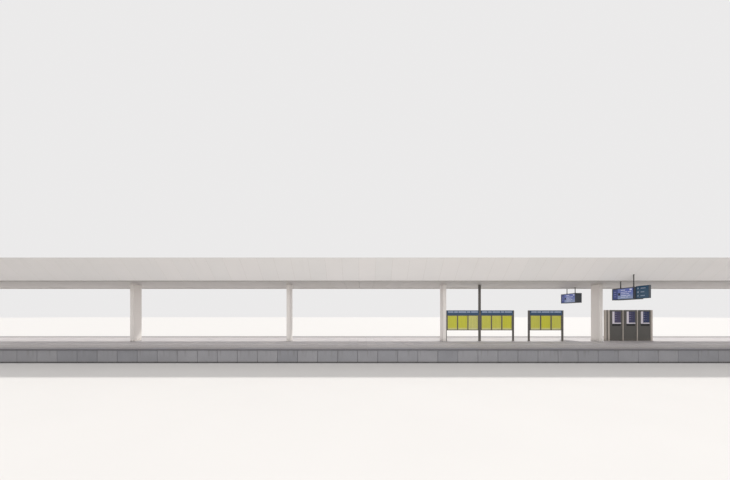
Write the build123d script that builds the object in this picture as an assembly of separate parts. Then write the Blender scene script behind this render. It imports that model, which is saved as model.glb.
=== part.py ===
from build123d import *
import math
import os

# Island platform of a railway station under its folded canopy, at half the real size.
# Millimetres. +X runs along the track, +Y away from the near track, +Z up.
# The origin is the middle of the underside, on the ground beside the track.

# Bays along the track
bay_count = 6
bay = 5360.0
wall_units_per_bay = 10
canopy_panels_per_bay = 11

# Platform body
platform_width = 5000.0
platform_height = 380.0
wall_thickness = 75.0
wall_joint = 4.0
wall_chamfer = 10.0
slab_depth = 1060.0
slab_thickness = 40.0
slab_overhang = 25.0
slab_bevel = 8.0
slabs_per_bay = 9
slab_joint = 4.0
paving_thickness = 40.0
paving_joint = 4.0

# Columns
column_width = 115.0
column_depth = 400.0
column_corner = 12.0
column_clearance = 4.0

# Canopy cladding
soffit_height = 1960.0
soffit_width = 2600.0
soffit_thickness = 12.0
fascia_rise = 580.0
fascia_run = 655.0
fascia_thickness = 15.0
panel_joint = 7.0
drip_drop = 26.0
drip_leg = 40.0
drip_thickness = 6.0
drip_setback = 2.0
capping_width = 90.0
capping_thickness = 8.0
end_plate_thickness = 12.0
end_plate_inset = 12.0

# Canopy frame
seat = 0.3
rail_height = 80.0
rail_width = 90.0
spine_width = 150.0
spine_height = 250.0
spine_wall = 10.0
frame_thickness = 60.0
frame_margin = 70.0
frame_corner = 40.0

# Roof
roof_thickness = 12.0
roof_upstand = 40.0
roof_fall = 80.0
gutter_width = 220.0
gutter_depth = 60.0
gutter_wall = 6.0
gutter_lap = 20.0

# Lights let into the soffit, two rows of slots
light_modules = 3
light_from_fold = 125.0
light_width = 85.0
light_end_margin = 14.0
light_height = 60.0
light_wall = 4.0

# Notice boards, each of three sheets between two posts, to the right of the fourth column
board_from_column = 17.5
board_span = 1170.0
board_gap = 550.0
board_y = 0.0
board_sheets = 3
board_top = 1070.0
board_header = 160.0
board_header_proud = 6.0
board_bottom = 375.0
board_post = 50.0
board_bar = 26.0
board_depth = 60.0
sheet_thickness = 16.0
tall_post = 72.0

# Ticket machines in a row, to the right of the fifth column
free_post_from_column = 302.5
free_post_gap = 43.0
free_post_depth = 50.0
end_post = 70.0
machine_post = 32.0
machine_y = 100.0
machine_pitch = 504.0
machine_count = 3
machine_height = 1085.0
machine_depth = 180.0
machine_recess = 15.0
machine_corner = 6.0
screen_from_post = 198.0
screen_width = 232.0
screen_height = 394.0
screen_bottom = 638.0
screen_depth = 18.0
bracket_bar = 70.0
bracket_foot = 36.0
bracket_depth = 12.0
tray_height = 58.0
tray_depth = 24.0

# Displays hung from the canopy near the fifth column, one over each side of the platform
display_from_column = -35.0
rod_diameter = 26.0
rod_pitch = 460.0
display_y = 1250.0
display_width = 820.0
display_thickness = 245.0
display_height = 365.0
display_drop = 220.0
display_rim = 22.0
display_recess = 12.0
side_sign_length = 400.0
side_sign_thickness = 60.0
side_sign_setback = 28.0
side_sign_height = 370.0
side_sign_drop = 205.0

# Levels and places that follow from the sizes above
length = bay_count * bay
half_length = length / 2
half_width = platform_width / 2
paving_underside = platform_height - paving_thickness
slab_underside = platform_height - slab_thickness
wall_face = half_width - slab_overhang
fill_half_width = wall_face - wall_thickness
column_places = [(i + 0.5) * bay - half_length for i in range(bay_count)]
module = bay / canopy_panels_per_bay
half_soffit = soffit_width / 2
soffit_level = platform_height + soffit_height
soffit_top = soffit_level + soffit_thickness
canopy_top = soffit_level + fascia_rise
half_canopy = half_soffit + fascia_run
fascia_slope_thickness = fascia_thickness * math.hypot(fascia_run, fascia_rise) / fascia_rise
cladding_top = canopy_top - capping_thickness
inner_half_length = half_length - end_plate_inset - end_plate_thickness - seat
fourth_column = column_places[3]
fifth_column = column_places[4]
board_post_1 = fourth_column + column_width / 2 + board_from_column + board_post / 2
tall_post_x = board_post_1 + board_span
board_post_3 = tall_post_x + board_span
board_post_4 = board_post_3 + board_gap
board_post_5 = board_post_4 + board_span
boards = [(board_post_1, tall_post_x), (tall_post_x, board_post_3), (board_post_4, board_post_5)]
free_post_x = fifth_column + column_width / 2 + free_post_from_column + end_post / 2
machine_start = free_post_x + end_post + free_post_gap
display_x = fifth_column + display_from_column


def fascia_inside(z, gap=0.0):
    """Distance from the centre line to the inner face of a fascia at a level."""
    lean = (z - soffit_level) * fascia_run / fascia_rise
    return half_soffit + lean - fascia_slope_thickness - gap


upper_rail_bottom = cladding_top - rail_height
upper_rail_inside = fascia_inside(upper_rail_bottom) - rail_width
roof_edge_top = cladding_top - roof_upstand
roof_inner_edge = gutter_width / 2 - gutter_lap


def roof_underside(y):
    """Level of the underside of the roof sheet at a distance from the centre line."""
    share = (upper_rail_inside - y) / (upper_rail_inside - roof_inner_edge)
    return roof_edge_top - roof_thickness - roof_fall * share


gutter_top = roof_underside(roof_inner_edge) - seat
gutter_underside = gutter_top - gutter_depth


# Helpers
def block(x0, x1, y0, y1, z0, z1):
    """A box between two corners."""
    return Pos(x0, y0, z0) * Box(x1 - x0, y1 - y0, z1 - z0, align=(Align.MIN,) * 3)


def along_track(points, x0, x1):
    """A profile in Y and Z, carried along the track."""
    profile = Plane.YZ.offset(x0) * Polygon(*points, align=None)
    return extrude(profile, amount=x1 - x0, dir=(1, 0, 0))


def other_side(shape):
    """The same shape across the centre line of the platform."""
    return mirror(shape, about=Plane.XZ)


def save(name, *shapes):
    solids = [solid for shape in shapes for solid in shape.solids()]
    whole = solids[0] if len(solids) == 1 else Compound(solids)
    export_step(whole, f"parts/{name}.step")


def save_pair(name, *front_shapes):
    """Front shapes and their mirrored copies, as two nodes."""
    save(f"{name}_front", *front_shapes)
    save(f"{name}_rear", *[other_side(shape) for shape in front_shapes])


def save_both(name, *front_shapes):
    """Front shapes and their mirrored copies, as one node."""
    save(name, *front_shapes, *[other_side(shape) for shape in front_shapes])


def row_between(joints, gap):
    """Start and end of each unit in a row along the whole length, with a gap at each joint."""
    starts = [-half_length, *[joint + gap / 2 for joint in joints]]
    ends = [*[joint - gap / 2 for joint in joints], half_length]
    return list(zip(starts, ends))


def whole_units(per_bay, gap):
    """A row of equal units, with a joint where two bays meet."""
    pitch = bay / per_bay
    return row_between([i * pitch - half_length for i in range(1, per_bay * bay_count)], gap)


def centred_units(per_bay, gap):
    """A row with a unit centred where two bays meet, so half a unit at each end."""
    pitch = bay / per_bay
    return row_between([(i + 0.5) * pitch - half_length for i in range(per_bay * bay_count)], gap)


# Platform
def platform_fill():
    end = half_length - wall_thickness
    return block(-end, end, -fill_half_width, fill_half_width, 0, paving_underside)


def wall_unit(x0, x1):
    """One precast unit of the platform edge, with its front corners bevelled."""
    unit = block(x0, x1, -wall_face, -fill_half_width, 0, slab_underside)
    corners = unit.edges().filter_by(Axis.Z).group_by(Axis.Y)[0]
    return chamfer(corners, wall_chamfer)


def edge_wall():
    return [wall_unit(x0, x1) for x0, x1 in centred_units(wall_units_per_bay, wall_joint)]


def end_wall():
    """The wall that closes the left end of the platform."""
    x1 = -half_length + wall_thickness
    return block(-half_length, x1, -fill_half_width, fill_half_width, 0, paving_underside)


def edge_slab(x0, x1):
    """One slab of the platform edge, standing out over the wall, its nose bevelled."""
    y0 = -half_width
    slab = block(x0, x1, y0, y0 + slab_depth, slab_underside, platform_height)
    nose = slab.edges().filter_by(Axis.X).group_by(Axis.Y)[0]
    return chamfer(nose, slab_bevel)


def edge_slabs():
    return [edge_slab(x0, x1) for x0, x1 in whole_units(slabs_per_bay, slab_joint)]


def main_paving():
    """The middle of the platform, with an opening round the foot of each column."""
    edge = half_width - slab_depth - paving_joint
    slab = block(-half_length, half_length, -edge, edge, paving_underside, platform_height)
    for x in column_places:
        half_x = column_width / 2 + column_clearance
        half_y = column_depth / 2 + column_clearance
        slab -= block(x - half_x, x + half_x, -half_y, half_y, paving_underside, platform_height)
    return slab


# Canopy
def column(x):
    """A blade column from the fill up to the frame above the soffit."""
    height = soffit_top - paving_underside
    blade = Pos(x, 0, paving_underside) * Box(
        column_width, column_depth, height, align=(Align.CENTER, Align.CENTER, Align.MIN)
    )
    return fillet(blade.edges().filter_by(Axis.Z), column_corner)


def panel_places():
    return centred_units(canopy_panels_per_bay, panel_joint)


def light_places():
    """Middle of each soffit panel that has a pair of light slots."""
    middles = [i * bay - half_length for i in range(bay_count + 1)]
    places = [x + step * module for x in middles for step in (-light_modules, light_modules)]
    return [x for x in places if abs(x) < half_length]


def slot_span():
    """Near and far side of the front row of light slots."""
    y0 = -half_soffit + light_from_fold
    return y0, y0 + light_width


def soffit_panel(x0, x1):
    half_panel = fascia_inside(soffit_level, seat)
    panel = block(x0, x1, -half_panel, half_panel, soffit_level, soffit_top)
    for x in column_places:
        if x0 - column_width < x < x1 + column_width:
            half_x = column_width / 2 + column_clearance
            half_y = column_depth / 2 + column_clearance
            panel -= block(x - half_x, x + half_x, -half_y, half_y, soffit_level, soffit_top)
    if any(x0 < x < x1 for x in light_places()):
        y0, y1 = slot_span()
        ends = (x0 + light_end_margin, x1 - light_end_margin)
        panel -= block(*ends, y0, y1, soffit_level, soffit_top)
        panel -= block(*ends, -y1, -y0, soffit_level, soffit_top)
    return panel


def light_housings():
    """Open-bottomed trays on top of the soffit, over the front row of slots."""
    y0, y1 = slot_span()
    trays = []
    for x in light_places():
        half_x = (module - panel_joint) / 2 - light_end_margin
        tray = block(
            x - half_x - light_wall, x + half_x + light_wall,
            y0 - light_wall, y1 + light_wall,
            soffit_top, soffit_top + light_height,
        )
        hollow_top = soffit_top + light_height - light_wall
        tray -= block(x - half_x, x + half_x, y0, y1, soffit_top, hollow_top)
        trays.append(tray)
    return trays


def fascia_panel(x0, x1):
    """One leaning panel of the front fascia, its ends cut level."""
    outline = [
        (-half_soffit, soffit_level),
        (-fascia_inside(cladding_top) - fascia_slope_thickness, cladding_top),
        (-fascia_inside(cladding_top), cladding_top),
        (-fascia_inside(soffit_level), soffit_level),
    ]
    return along_track(outline, x0, x1)


def drip_edge():
    """The dark angle under the fold, with its lip hanging below the soffit."""
    face = half_soffit - drip_setback
    leg = half_soffit - drip_leg
    outline = [
        (-face, soffit_level),
        (-face, soffit_level - drip_drop),
        (-face + drip_thickness, soffit_level - drip_drop),
        (-face + drip_thickness, soffit_level - drip_thickness),
        (-leg, soffit_level - drip_thickness),
        (-leg, soffit_level),
    ]
    return along_track(outline, -half_length, half_length)


def capping():
    """The flat trim along the top edge of the canopy."""
    inside = half_canopy - capping_width
    outline = [
        (-half_canopy, canopy_top),
        (-inside, canopy_top),
        (-inside, cladding_top),
        (-half_canopy, cladding_top),
    ]
    return along_track(outline, -half_length, half_length)


def lower_rail():
    """The rail in the corner between soffit and fascia."""
    top = soffit_top + rail_height
    inside = fascia_inside(soffit_top) - rail_width
    outline = [
        (-inside, soffit_top),
        (-inside, top),
        (-fascia_inside(top, seat), top),
        (-fascia_inside(soffit_top, seat), soffit_top),
    ]
    return along_track(outline, -inner_half_length, inner_half_length)


def upper_rail():
    """The rail behind the top of the fascia, which is also the upstand of the roof."""
    outline = [
        (-upper_rail_inside, upper_rail_bottom),
        (-upper_rail_inside, cladding_top),
        (-fascia_inside(cladding_top, seat), cladding_top),
        (-fascia_inside(upper_rail_bottom, seat), upper_rail_bottom),
    ]
    return along_track(outline, -inner_half_length, inner_half_length)


def spine_beam():
    half = spine_width / 2
    top = soffit_top + spine_height
    tube = block(-inner_half_length, inner_half_length, -half, half, soffit_top, top)
    tube -= block(
        -inner_half_length, inner_half_length,
        -half + spine_wall, half - spine_wall,
        soffit_top + spine_wall, top - spine_wall,
    )
    return tube


def half_frame_outline():
    """Right half of a cross frame, from the centre line round to the gutter."""
    return [
        (0, soffit_top + spine_height),
        (spine_width / 2, soffit_top + spine_height),
        (spine_width / 2, soffit_top),
        (fascia_inside(soffit_top) - rail_width, soffit_top),
        (fascia_inside(soffit_top) - rail_width, soffit_top + rail_height),
        (fascia_inside(soffit_top + rail_height, seat), soffit_top + rail_height),
        (fascia_inside(upper_rail_bottom, seat), upper_rail_bottom),
        (upper_rail_inside, upper_rail_bottom),
        (upper_rail_inside, roof_underside(upper_rail_inside) - seat),
        (gutter_width / 2, roof_underside(gutter_width / 2) - seat),
        (gutter_width / 2, gutter_underside),
        (0, gutter_underside),
    ]


def frame_opening():
    """The opening in each wing of a cross frame."""
    low = soffit_top + frame_margin
    inner = spine_width / 2 + frame_margin
    outer_low = fascia_inside(soffit_top) - rail_width - frame_margin
    outer_high = upper_rail_inside - frame_margin
    opening = Polygon(
        (inner, low),
        (outer_low, low),
        (outer_high, roof_underside(outer_high) - frame_margin),
        (inner, roof_underside(inner) - frame_margin),
        align=None,
    )
    return chamfer(opening.vertices(), frame_corner)


def cross_frame(x):
    half = half_frame_outline()
    other_half = [(-y, z) for y, z in reversed(half)]
    outline = Polygon(*half, *other_half[1:-1], align=None)
    wings = [frame_opening(), mirror(frame_opening(), about=Plane.YZ)]
    plate = Plane.YZ.offset(x - frame_thickness / 2) * (outline - wings[0] - wings[1])
    return extrude(plate, amount=frame_thickness, dir=(1, 0, 0))


def end_plate():
    """The plate that closes the left end of the canopy."""
    x0 = -half_length + end_plate_inset
    inside = half_canopy - capping_width - seat
    half = [
        (fascia_inside(soffit_top, seat), soffit_top),
        (fascia_inside(cladding_top, seat), cladding_top),
        (inside, cladding_top),
        (inside, canopy_top),
    ]
    outline = half + [(-y, z) for y, z in reversed(half)]
    return along_track(outline, x0, x0 + end_plate_thickness)


def roof_sheet():
    """The front half of the roof, falling to the gutter."""
    outline = [
        (-upper_rail_inside, roof_edge_top),
        (-upper_rail_inside, roof_edge_top - roof_thickness),
        (-roof_inner_edge, roof_underside(roof_inner_edge)),
        (-roof_inner_edge, roof_underside(roof_inner_edge) + roof_thickness),
    ]
    return along_track(outline, -inner_half_length, inner_half_length)


def gutter():
    half = gutter_width / 2
    outer = block(-inner_half_length, inner_half_length, -half, half, gutter_underside, gutter_top)
    wall = gutter_wall
    inner = block(
        -inner_half_length + wall, inner_half_length - wall,
        -half + wall, half - wall,
        gutter_underside + wall, gutter_top,
    )
    return outer - inner


def in_canopy():
    """The whole section of the canopy with its seat, to cut hanging rods to length."""
    outline = [
        (-half_soffit, soffit_level),
        (-half_canopy - seat, canopy_top),
        (half_canopy + seat, canopy_top),
        (half_soffit, soffit_level),
    ]
    return along_track(outline, -half_length, half_length)


# Notice boards
def post_width(x):
    return tall_post if x == tall_post_x else board_post


def board_bay(board):
    """Left and right side of the space between the two posts of a board."""
    left, right = board
    return left + post_width(left) / 2, right - post_width(right) / 2


def sheet_bays(board):
    """Left and right side of each sheet's place between the bars of a board."""
    left, right = board_bay(board)
    pitch = (right - left - board_bar) / board_sheets
    return [(left + i * pitch + board_bar, left + (i + 1) * pitch) for i in range(board_sheets)]


def notice_board(board):
    """The frame round three sheets, with the posts that are the board's own."""
    low = platform_height
    left, right = board_bay(board)
    y0, y1 = board_y - board_depth / 2, board_y + board_depth / 2
    sill, head = low + board_bottom, low + board_top - board_header
    body = block(left, right, y0, y1, sill, head)
    for x0, x1 in sheet_bays(board):
        body -= block(x0, x1, y0, y1, sill + board_bar, head - board_bar)
    half = board_post / 2
    for x in board:
        if x != tall_post_x:
            body += block(x - half, x + half, board_y - half, board_y + half, low, low + board_top)
    return body


def notice_header(board):
    """The header box above the sheets, standing proud of the frame on both faces."""
    left, right = board_bay(board)
    half = board_depth / 2 + board_header_proud
    head = platform_height + board_top - board_header
    return block(left, right, board_y - half, board_y + half, head, head + board_header)


def notice_sheets(board):
    """The sheets of a board, each let into its own place in the frame."""
    low = platform_height + board_bottom + board_bar
    high = platform_height + board_top - board_header - board_bar - seat
    half = sheet_thickness / 2
    return [
        block(x0 + seat, x1 - seat, board_y - half, board_y + half, low, high)
        for x0, x1 in sheet_bays(board)
    ]


def service_post():
    """The tall post between two boards, from the paving up to the soffit."""
    half = tall_post / 2 - seat
    post = block(
        tall_post_x - half, tall_post_x + half, board_y - half, board_y + half,
        platform_height, soffit_level,
    )
    return fillet(post.edges().filter_by(Axis.Z), column_corner / 2)


# Ticket machines
def machine_post_places():
    """Middle and width of each post of the machines, the two at the ends stouter."""
    widths = [end_post, *[machine_post] * (machine_count - 1), end_post]
    return [(machine_start + i * machine_pitch, width) for i, width in enumerate(widths)]


def machine_bays():
    """Left and right side of each cabinet, which meets the next one behind their post."""
    middles = [x for x, _ in machine_post_places()]
    edges = [middles[0] - end_post / 2, *middles[1:-1], middles[-1] + end_post / 2]
    return [(x0 + seat / 2, x1 - seat / 2) for x0, x1 in zip(edges, edges[1:])]


def screen_places():
    """Left side of each screen."""
    return [x + screen_from_post for x, _ in machine_post_places()[:-1]]


def machine_cabinets():
    """One cabinet a machine, with a recess for its screen and an open tray below it."""
    front = machine_y + machine_recess
    bottom = platform_height + screen_bottom
    tray_top = bottom - bracket_foot
    cabinets = []
    for (x0, x1), left in zip(machine_bays(), screen_places()):
        right = left + screen_width
        cabinet = block(
            x0, x1, front, machine_y + machine_depth,
            platform_height, platform_height + machine_height,
        )
        cabinet -= block(left, right, front, front + screen_depth, bottom, bottom + screen_height)
        cabinet -= block(
            left - bracket_bar, right, front, front + tray_depth, tray_top - tray_height, tray_top
        )
        cabinets.append(cabinet)
    return cabinets


def machine_posts():
    """The flat posts in front of the machines, and the free post beside them."""
    sizes = [(free_post_x, end_post, free_post_depth)]
    sizes += [(x, width, machine_recess - seat) for x, width in machine_post_places()]
    posts = []
    for x, width, depth in sizes:
        half = width / 2
        post = block(
            x - half, x + half, machine_y, machine_y + depth,
            platform_height, platform_height + machine_height,
        )
        posts.append(chamfer(post.edges().filter_by(Axis.Z).group_by(Axis.Y)[0], machine_corner))
    return posts


def machine_screens():
    """The glass of each screen, flush with the cabinet."""
    bottom = platform_height + screen_bottom
    front = machine_y + machine_recess
    return [
        block(
            left + seat, left + screen_width - seat, front, front + screen_depth,
            bottom, bottom + screen_height - seat,
        )
        for left in screen_places()
    ]


def screen_brackets():
    """The pale angle down the left side and along the foot of each screen."""
    bottom = platform_height + screen_bottom
    front = machine_y + machine_recess
    brackets = []
    for left in screen_places():
        outline = Polygon(
            (left - bracket_bar, bottom - bracket_foot),
            (left + screen_width, bottom - bracket_foot),
            (left + screen_width, bottom),
            (left, bottom),
            (left, bottom + screen_height),
            (left - bracket_bar, bottom + screen_height),
            align=None,
        )
        face = Plane.XZ.offset(-front) * outline
        brackets.append(extrude(face, amount=bracket_depth, dir=(0, -1, 0)))
    return brackets


# Hanging displays
def display():
    """The casing over the rear side, with a screen recess in each broad face."""
    x, half = display_x, display_thickness / 2
    y0, y1 = display_y - display_width / 2, display_y + display_width / 2
    top = soffit_level - display_drop
    low = top - display_height
    rim = display_rim
    casing = block(x - half, x + half, y0, y1, low, top)
    for x0 in (x - half, x + half - display_recess):
        casing -= block(x0, x0 + display_recess, y0 + rim, y1 - rim, low + rim, top - rim)
    return casing


def side_sign():
    """The thin sign that stands out from the end of the display over the front side."""
    x0 = display_x - display_thickness / 2 + side_sign_setback
    y1 = -display_y - display_width / 2 - seat
    top = soffit_level - side_sign_drop
    return block(
        x0, x0 + side_sign_thickness,
        y1 - side_sign_length, y1, top - side_sign_height, top,
    )


def display_rods():
    """The rods over the rear side, cut where they meet the soffit and the fascia."""
    low = soffit_level - display_drop
    rods = []
    for y in (display_y - rod_pitch / 2, display_y + rod_pitch / 2):
        rod = Pos(display_x, y, low) * Cylinder(
            rod_diameter / 2, canopy_top - low, align=(Align.CENTER, Align.CENTER, Align.MIN)
        )
        rods.append(rod - in_canopy())
    return rods


# Writing every node
os.makedirs("parts", exist_ok=True)

save("platform_fill", platform_fill())
save_pair("edge_wall", *edge_wall())
save("end_wall_left", end_wall())
save("end_wall_right", mirror(end_wall(), about=Plane.YZ))
save_pair("edge_slabs", *edge_slabs())
save("main_paving", main_paving())

for number, x in enumerate(column_places, start=1):
    save(f"column_{number}", column(x))
save("column_frames", *[cross_frame(x) for x in column_places])
save("span_frames", *[cross_frame(x + bay / 2) for x in column_places[:-1]])
save("spine_beam", spine_beam())
save_both("cladding_rails", lower_rail(), upper_rail())
save("soffit_panels", *[soffit_panel(x0, x1) for x0, x1 in panel_places()])
save_pair("fascia", *[fascia_panel(x0, x1) for x0, x1 in panel_places()])
save_both("drip_edges", drip_edge())
save_both("capping", capping())
save_both("light_housings", *light_housings())
save_pair("roof", roof_sheet())
save("valley_gutter", gutter())
save("canopy_end_left", end_plate())
save("canopy_end_right", mirror(end_plate(), about=Plane.YZ))

for number, board in enumerate(boards, start=1):
    save(f"notice_board_{number}", notice_board(board))
save("notice_headers", *[notice_header(board) for board in boards])
save("notice_sheets", *[sheet for board in boards for sheet in notice_sheets(board)])
save("service_post", service_post())
save("ticket_machines", *machine_cabinets())
save("machine_posts", *machine_posts())
save("machine_screens", *machine_screens())
save("screen_brackets", *screen_brackets())
save("display_a", display())
save("display_b", other_side(display()))
save("side_sign", side_sign())
save_both("display_rods", *display_rods())
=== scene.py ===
import math
import bpy
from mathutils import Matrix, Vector


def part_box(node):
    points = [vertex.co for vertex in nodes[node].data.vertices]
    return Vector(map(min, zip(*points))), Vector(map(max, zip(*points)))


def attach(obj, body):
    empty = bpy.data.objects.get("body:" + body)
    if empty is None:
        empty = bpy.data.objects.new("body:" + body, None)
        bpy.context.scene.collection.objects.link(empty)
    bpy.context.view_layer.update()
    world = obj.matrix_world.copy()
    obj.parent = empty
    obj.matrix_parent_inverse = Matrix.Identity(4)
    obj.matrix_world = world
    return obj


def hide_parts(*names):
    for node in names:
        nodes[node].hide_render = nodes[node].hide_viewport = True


# Half-size island platform of a railway station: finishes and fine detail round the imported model.
# Metres. +X runs along the track, +Y away from the near track, +Z up.

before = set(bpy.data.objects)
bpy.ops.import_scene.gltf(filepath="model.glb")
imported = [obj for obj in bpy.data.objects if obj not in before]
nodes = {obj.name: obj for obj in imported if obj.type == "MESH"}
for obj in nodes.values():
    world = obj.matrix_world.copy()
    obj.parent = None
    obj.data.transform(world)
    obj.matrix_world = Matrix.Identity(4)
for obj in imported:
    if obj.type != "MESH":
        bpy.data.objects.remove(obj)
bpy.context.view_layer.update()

# The photograph's frame, in its own pixels, and the place of its camera
photo_width = 730
photo_height = 480
focal_pixels = 303.0
vanishing_x = 361.9
horizon_y = 315.4
sensor_width = 36.0
eye_place = (-0.155, -10.575, 1.275)

# How the model is divided
bays = 6
wall_units_per_bay = 10
slabs_per_bay = 9
panels_per_bay = 11
end_units = 9
tile_rows = 10
sheets_per_board = 3
machines = 3

# Sizes of the part's source that the boxes of its nodes don't give
column_corner = 0.012
panel_gap = 0.007
drip_setback = 0.002
fascia_sheet = 0.015
roof_sheet = 0.012
gutter_floor = 0.006
housing_wall = 0.004
light_margin = 0.014
light_width = 0.085
light_panels = 3
board_post = 0.05
board_bar = 0.026
end_post = 0.07
machine_pitch = 0.504
bracket_width = 0.302
tray_height = 0.058
tray_depth = 0.024
display_rim = 0.022
display_recess = 0.012
rod_radius = 0.013
rod_pitch = 0.46

# Sizes read from the model
half_length, half_width, platform_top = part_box("edge_slabs_rear")[1]
bay = 2 * half_length / bays
wall_unit = bay / wall_units_per_bay
slab = bay / slabs_per_bay
panel = bay / panels_per_bay
panel_joints = [(i + 0.5) * panel - half_length for i in range(panels_per_bay * bays)]
end_low, end_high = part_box("end_wall_left")
end_unit = (end_high.y - end_low.y) / end_units
end_face = -end_low.x
paving_low, paving_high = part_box("main_paving")
tile_x = slab / 2
tile_y = (paving_high.y - paving_low.y) / tile_rows
column_boxes = [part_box(f"column_{i + 1}") for i in range(bays)]
board_boxes = [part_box(f"notice_board_{number}") for number in (1, 2, 3)]
sheets_low, sheets_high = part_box("notice_sheets")
service_low, service_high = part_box("service_post")
display_low, display_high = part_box("display_a")
soffit_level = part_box("soffit_panels")[0].z
canopy_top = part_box("capping")[1].z
drip_face = -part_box("drip_edges")[0].y
half_soffit = drip_face + drip_setback
fascia_low, fascia_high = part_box("fascia_rear")
fascia_rise = fascia_high.z - fascia_low.z
fascia_run = fascia_high.y - half_soffit
fascia_thick = fascia_sheet * math.hypot(fascia_run, fascia_rise) / fascia_rise
roof_low, roof_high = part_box("roof_rear")


def srgb(*values):
    """A colour given as it shows on screen, 0 to 255, as the linear values that a shader takes."""
    shares = [value / 255 for value in values]
    return (*[s / 12.92 if s <= 0.04045 else ((s + 0.055) / 1.055) ** 2.4 for s in shares], 1.0)


# Materials
class Finish:
    """A material under construction: a Principled shader and short calls for what feeds it."""

    def __init__(self, name, **shader_values):
        self.material = bpy.data.materials.new(name)
        self.material.use_nodes = True
        self.tree = self.material.node_tree
        self.shader = self.tree.nodes["Principled BSDF"]
        sockets = {socket.name.lower().replace(" ", "_"): socket for socket in self.shader.inputs}
        for name, value in shader_values.items():
            sockets[name].default_value = value
        self.place = self.add("ShaderNodeTexCoord", {}).outputs["Object"]
        self.x, self.y, self.z = self.add("ShaderNodeSeparateXYZ", {0: self.place}).outputs

    def add(self, kind, inputs, **settings):
        """A node with its settings, and each input fed from another node or set to a plain value."""
        node = self.tree.nodes.new(kind)
        for name, value in settings.items():
            setattr(node, name, value)
        for name, value in inputs.items():
            self.link(value, node.inputs[name])
        return node

    def link(self, value, socket):
        """Feeds a socket from another node or with a plain value, a colour as it shows on screen."""
        if isinstance(value, bpy.types.NodeSocket):
            self.tree.links.new(value, socket)
        else:
            socket.default_value = srgb(*value) if socket.type == "RGBA" else value

    def math(self, operation, first, second=0.0):
        return self.add("ShaderNodeMath", {0: first, 1: second}, operation=operation).outputs[0]

    def times(self, first, second):
        return self.math("MULTIPLY", first, second)

    def noise(self, scale, detail, stretch=(1, 1, 1), roughness=0.5):
        """Fractal noise from 0 to 1, with features about 1/scale metres across."""
        mapping = self.add("ShaderNodeMapping", {"Vector": self.place, "Scale": stretch})
        inputs = {"Vector": mapping.outputs[0], "Scale": scale, "Detail": detail, "Roughness": roughness}
        return self.add("ShaderNodeTexNoise", inputs).outputs["Fac"]

    def along(self, value, pitch, shift):
        """A place in a row of units, counted in units."""
        return self.math("ADD", self.math("DIVIDE", value, pitch), shift)

    def unit(self, value, pitch, shift=0.0):
        """The number of the unit in a row that a place falls in."""
        return self.math("FLOOR", self.along(value, pitch, shift))

    def off_middle(self, value, pitch, shift=0.0):
        """Distance of a place from the middle of its unit, as a share of the unit."""
        share = self.math("FRACT", self.along(value, pitch, shift))
        return self.math("ABSOLUTE", self.math("SUBTRACT", share, 0.5))

    def chance(self, *numbers):
        """A fixed random value from 0 to 1 for each unit, or for each pair of units."""
        vector = self.add("ShaderNodeCombineXYZ", dict(enumerate(numbers))).outputs[0]
        return self.add("ShaderNodeTexWhiteNoise", {"Vector": vector}, noise_dimensions="3D").outputs["Value"]

    def spread(self, value, low, high, to_low=0.0, to_high=1.0):
        """Carries a range of values to another, clamped and smooth at both ends."""
        inputs = {"Value": value, "From Min": low, "From Max": high, "To Min": to_low, "To Max": to_high}
        return self.add("ShaderNodeMapRange", inputs, interpolation_type="SMOOTHSTEP").outputs["Result"]

    def band(self, value, low, high, soft):
        """1 between two values and 0 outside, with soft edges."""
        rise = self.spread(value, low - soft, low + soft)
        return self.times(rise, self.spread(value, high - soft, high + soft, 1.0, 0.0))

    def mix(self, share, first, second, blend="MIX"):
        inputs = {0: share, 6: first, 7: second}
        return self.add("ShaderNodeMix", inputs, data_type="RGBA", blend_type=blend).outputs[2]

    def shade(self, colour, share, low, high):
        """Makes a colour darker or lighter, by a factor that follows a share from 0 to 1."""
        factor = self.math("ADD", self.times(share, high - low), low)
        tone = self.add("ShaderNodeCombineColor", {0: factor, 1: factor, 2: factor})
        return self.mix(1.0, colour, tone.outputs[0], "MULTIPLY")

    def bump(self, height, distance, strength):
        """Adds relief on top of what the shader's normal has so far."""
        node = self.add("ShaderNodeBump", {"Height": height, "Distance": distance, "Strength": strength})
        normal = self.shader.inputs["Normal"]
        if normal.links:
            self.link(normal.links[0].from_socket, node.inputs["Normal"])
        self.link(node.outputs[0], normal)

    def roughness(self, scale, detail, low, high):
        """An uneven gloss, with features about 1/scale metres across."""
        value = self.spread(self.noise(scale, detail), 0.0, 1.0, low, high)
        self.link(value, self.shader.inputs["Roughness"])

    def done(self, colour):
        self.link(colour, self.shader.inputs["Base Color"])
        return self.material


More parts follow.
